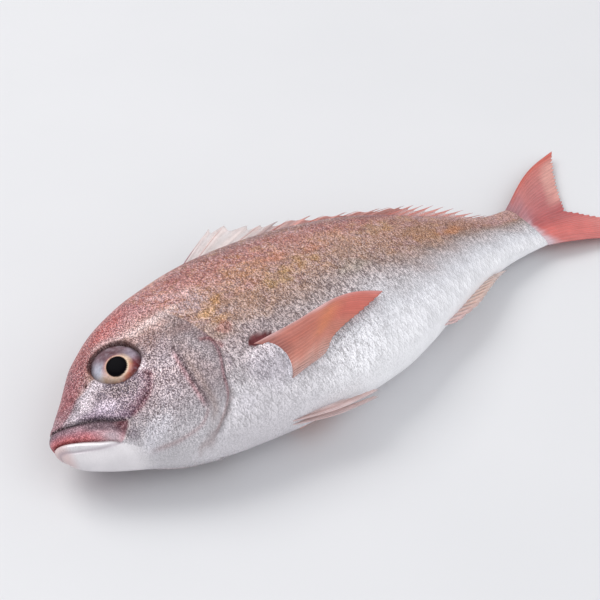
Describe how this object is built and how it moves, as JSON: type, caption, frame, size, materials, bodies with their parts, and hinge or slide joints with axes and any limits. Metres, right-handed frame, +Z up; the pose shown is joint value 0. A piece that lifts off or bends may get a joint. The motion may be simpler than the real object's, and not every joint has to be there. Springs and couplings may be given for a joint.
{
  "type": "whole raw fish",
  "caption": "Whole raw sea bream with its head, eyes, fins and forked tail, lying on its right side as food ready to cook.",
  "frame": {"origin": "middle of the underside of the whole fish's box, on the surface it lies on", "axes": "+X from the snout to the tail, +Y towards the back, +Z up out of the left flank"},
  "size_m": [0.3006, 0.124, 0.0446],
  "materials": {
    "skin": "wet scaled fish skin, dark pink-red on the back, silver on the flank and white on the belly",
    "eye": "wet glossy eye, black pupil in a gold and red iris",
    "dorsal_fin": "thin wet fin skin on spines, whitish in front and rose behind",
    "pale_fin": "thin translucent fin skin on fine rays, pale pink to cream",
    "tail_fin": "thin wet fin skin on fine rays, rose red with a greyish hind edge",
    "pectoral_fin": "thin wet fin skin on fine rays, salmon orange to red"
  },
  "bodies": {
    "root": {"body": "skin", "eye_left": "eye", "eye_right": "eye", "dorsal_fin": "dorsal_fin", "anal_fin": "pale_fin", "tail_fin": "tail_fin", "pectoral_fin_left": "pectoral_fin", "pectoral_fin_right": "pectoral_fin", "pelvic_fin_left": "pale_fin", "pelvic_fin_right": "pale_fin"}
  },
  "joints": []
}
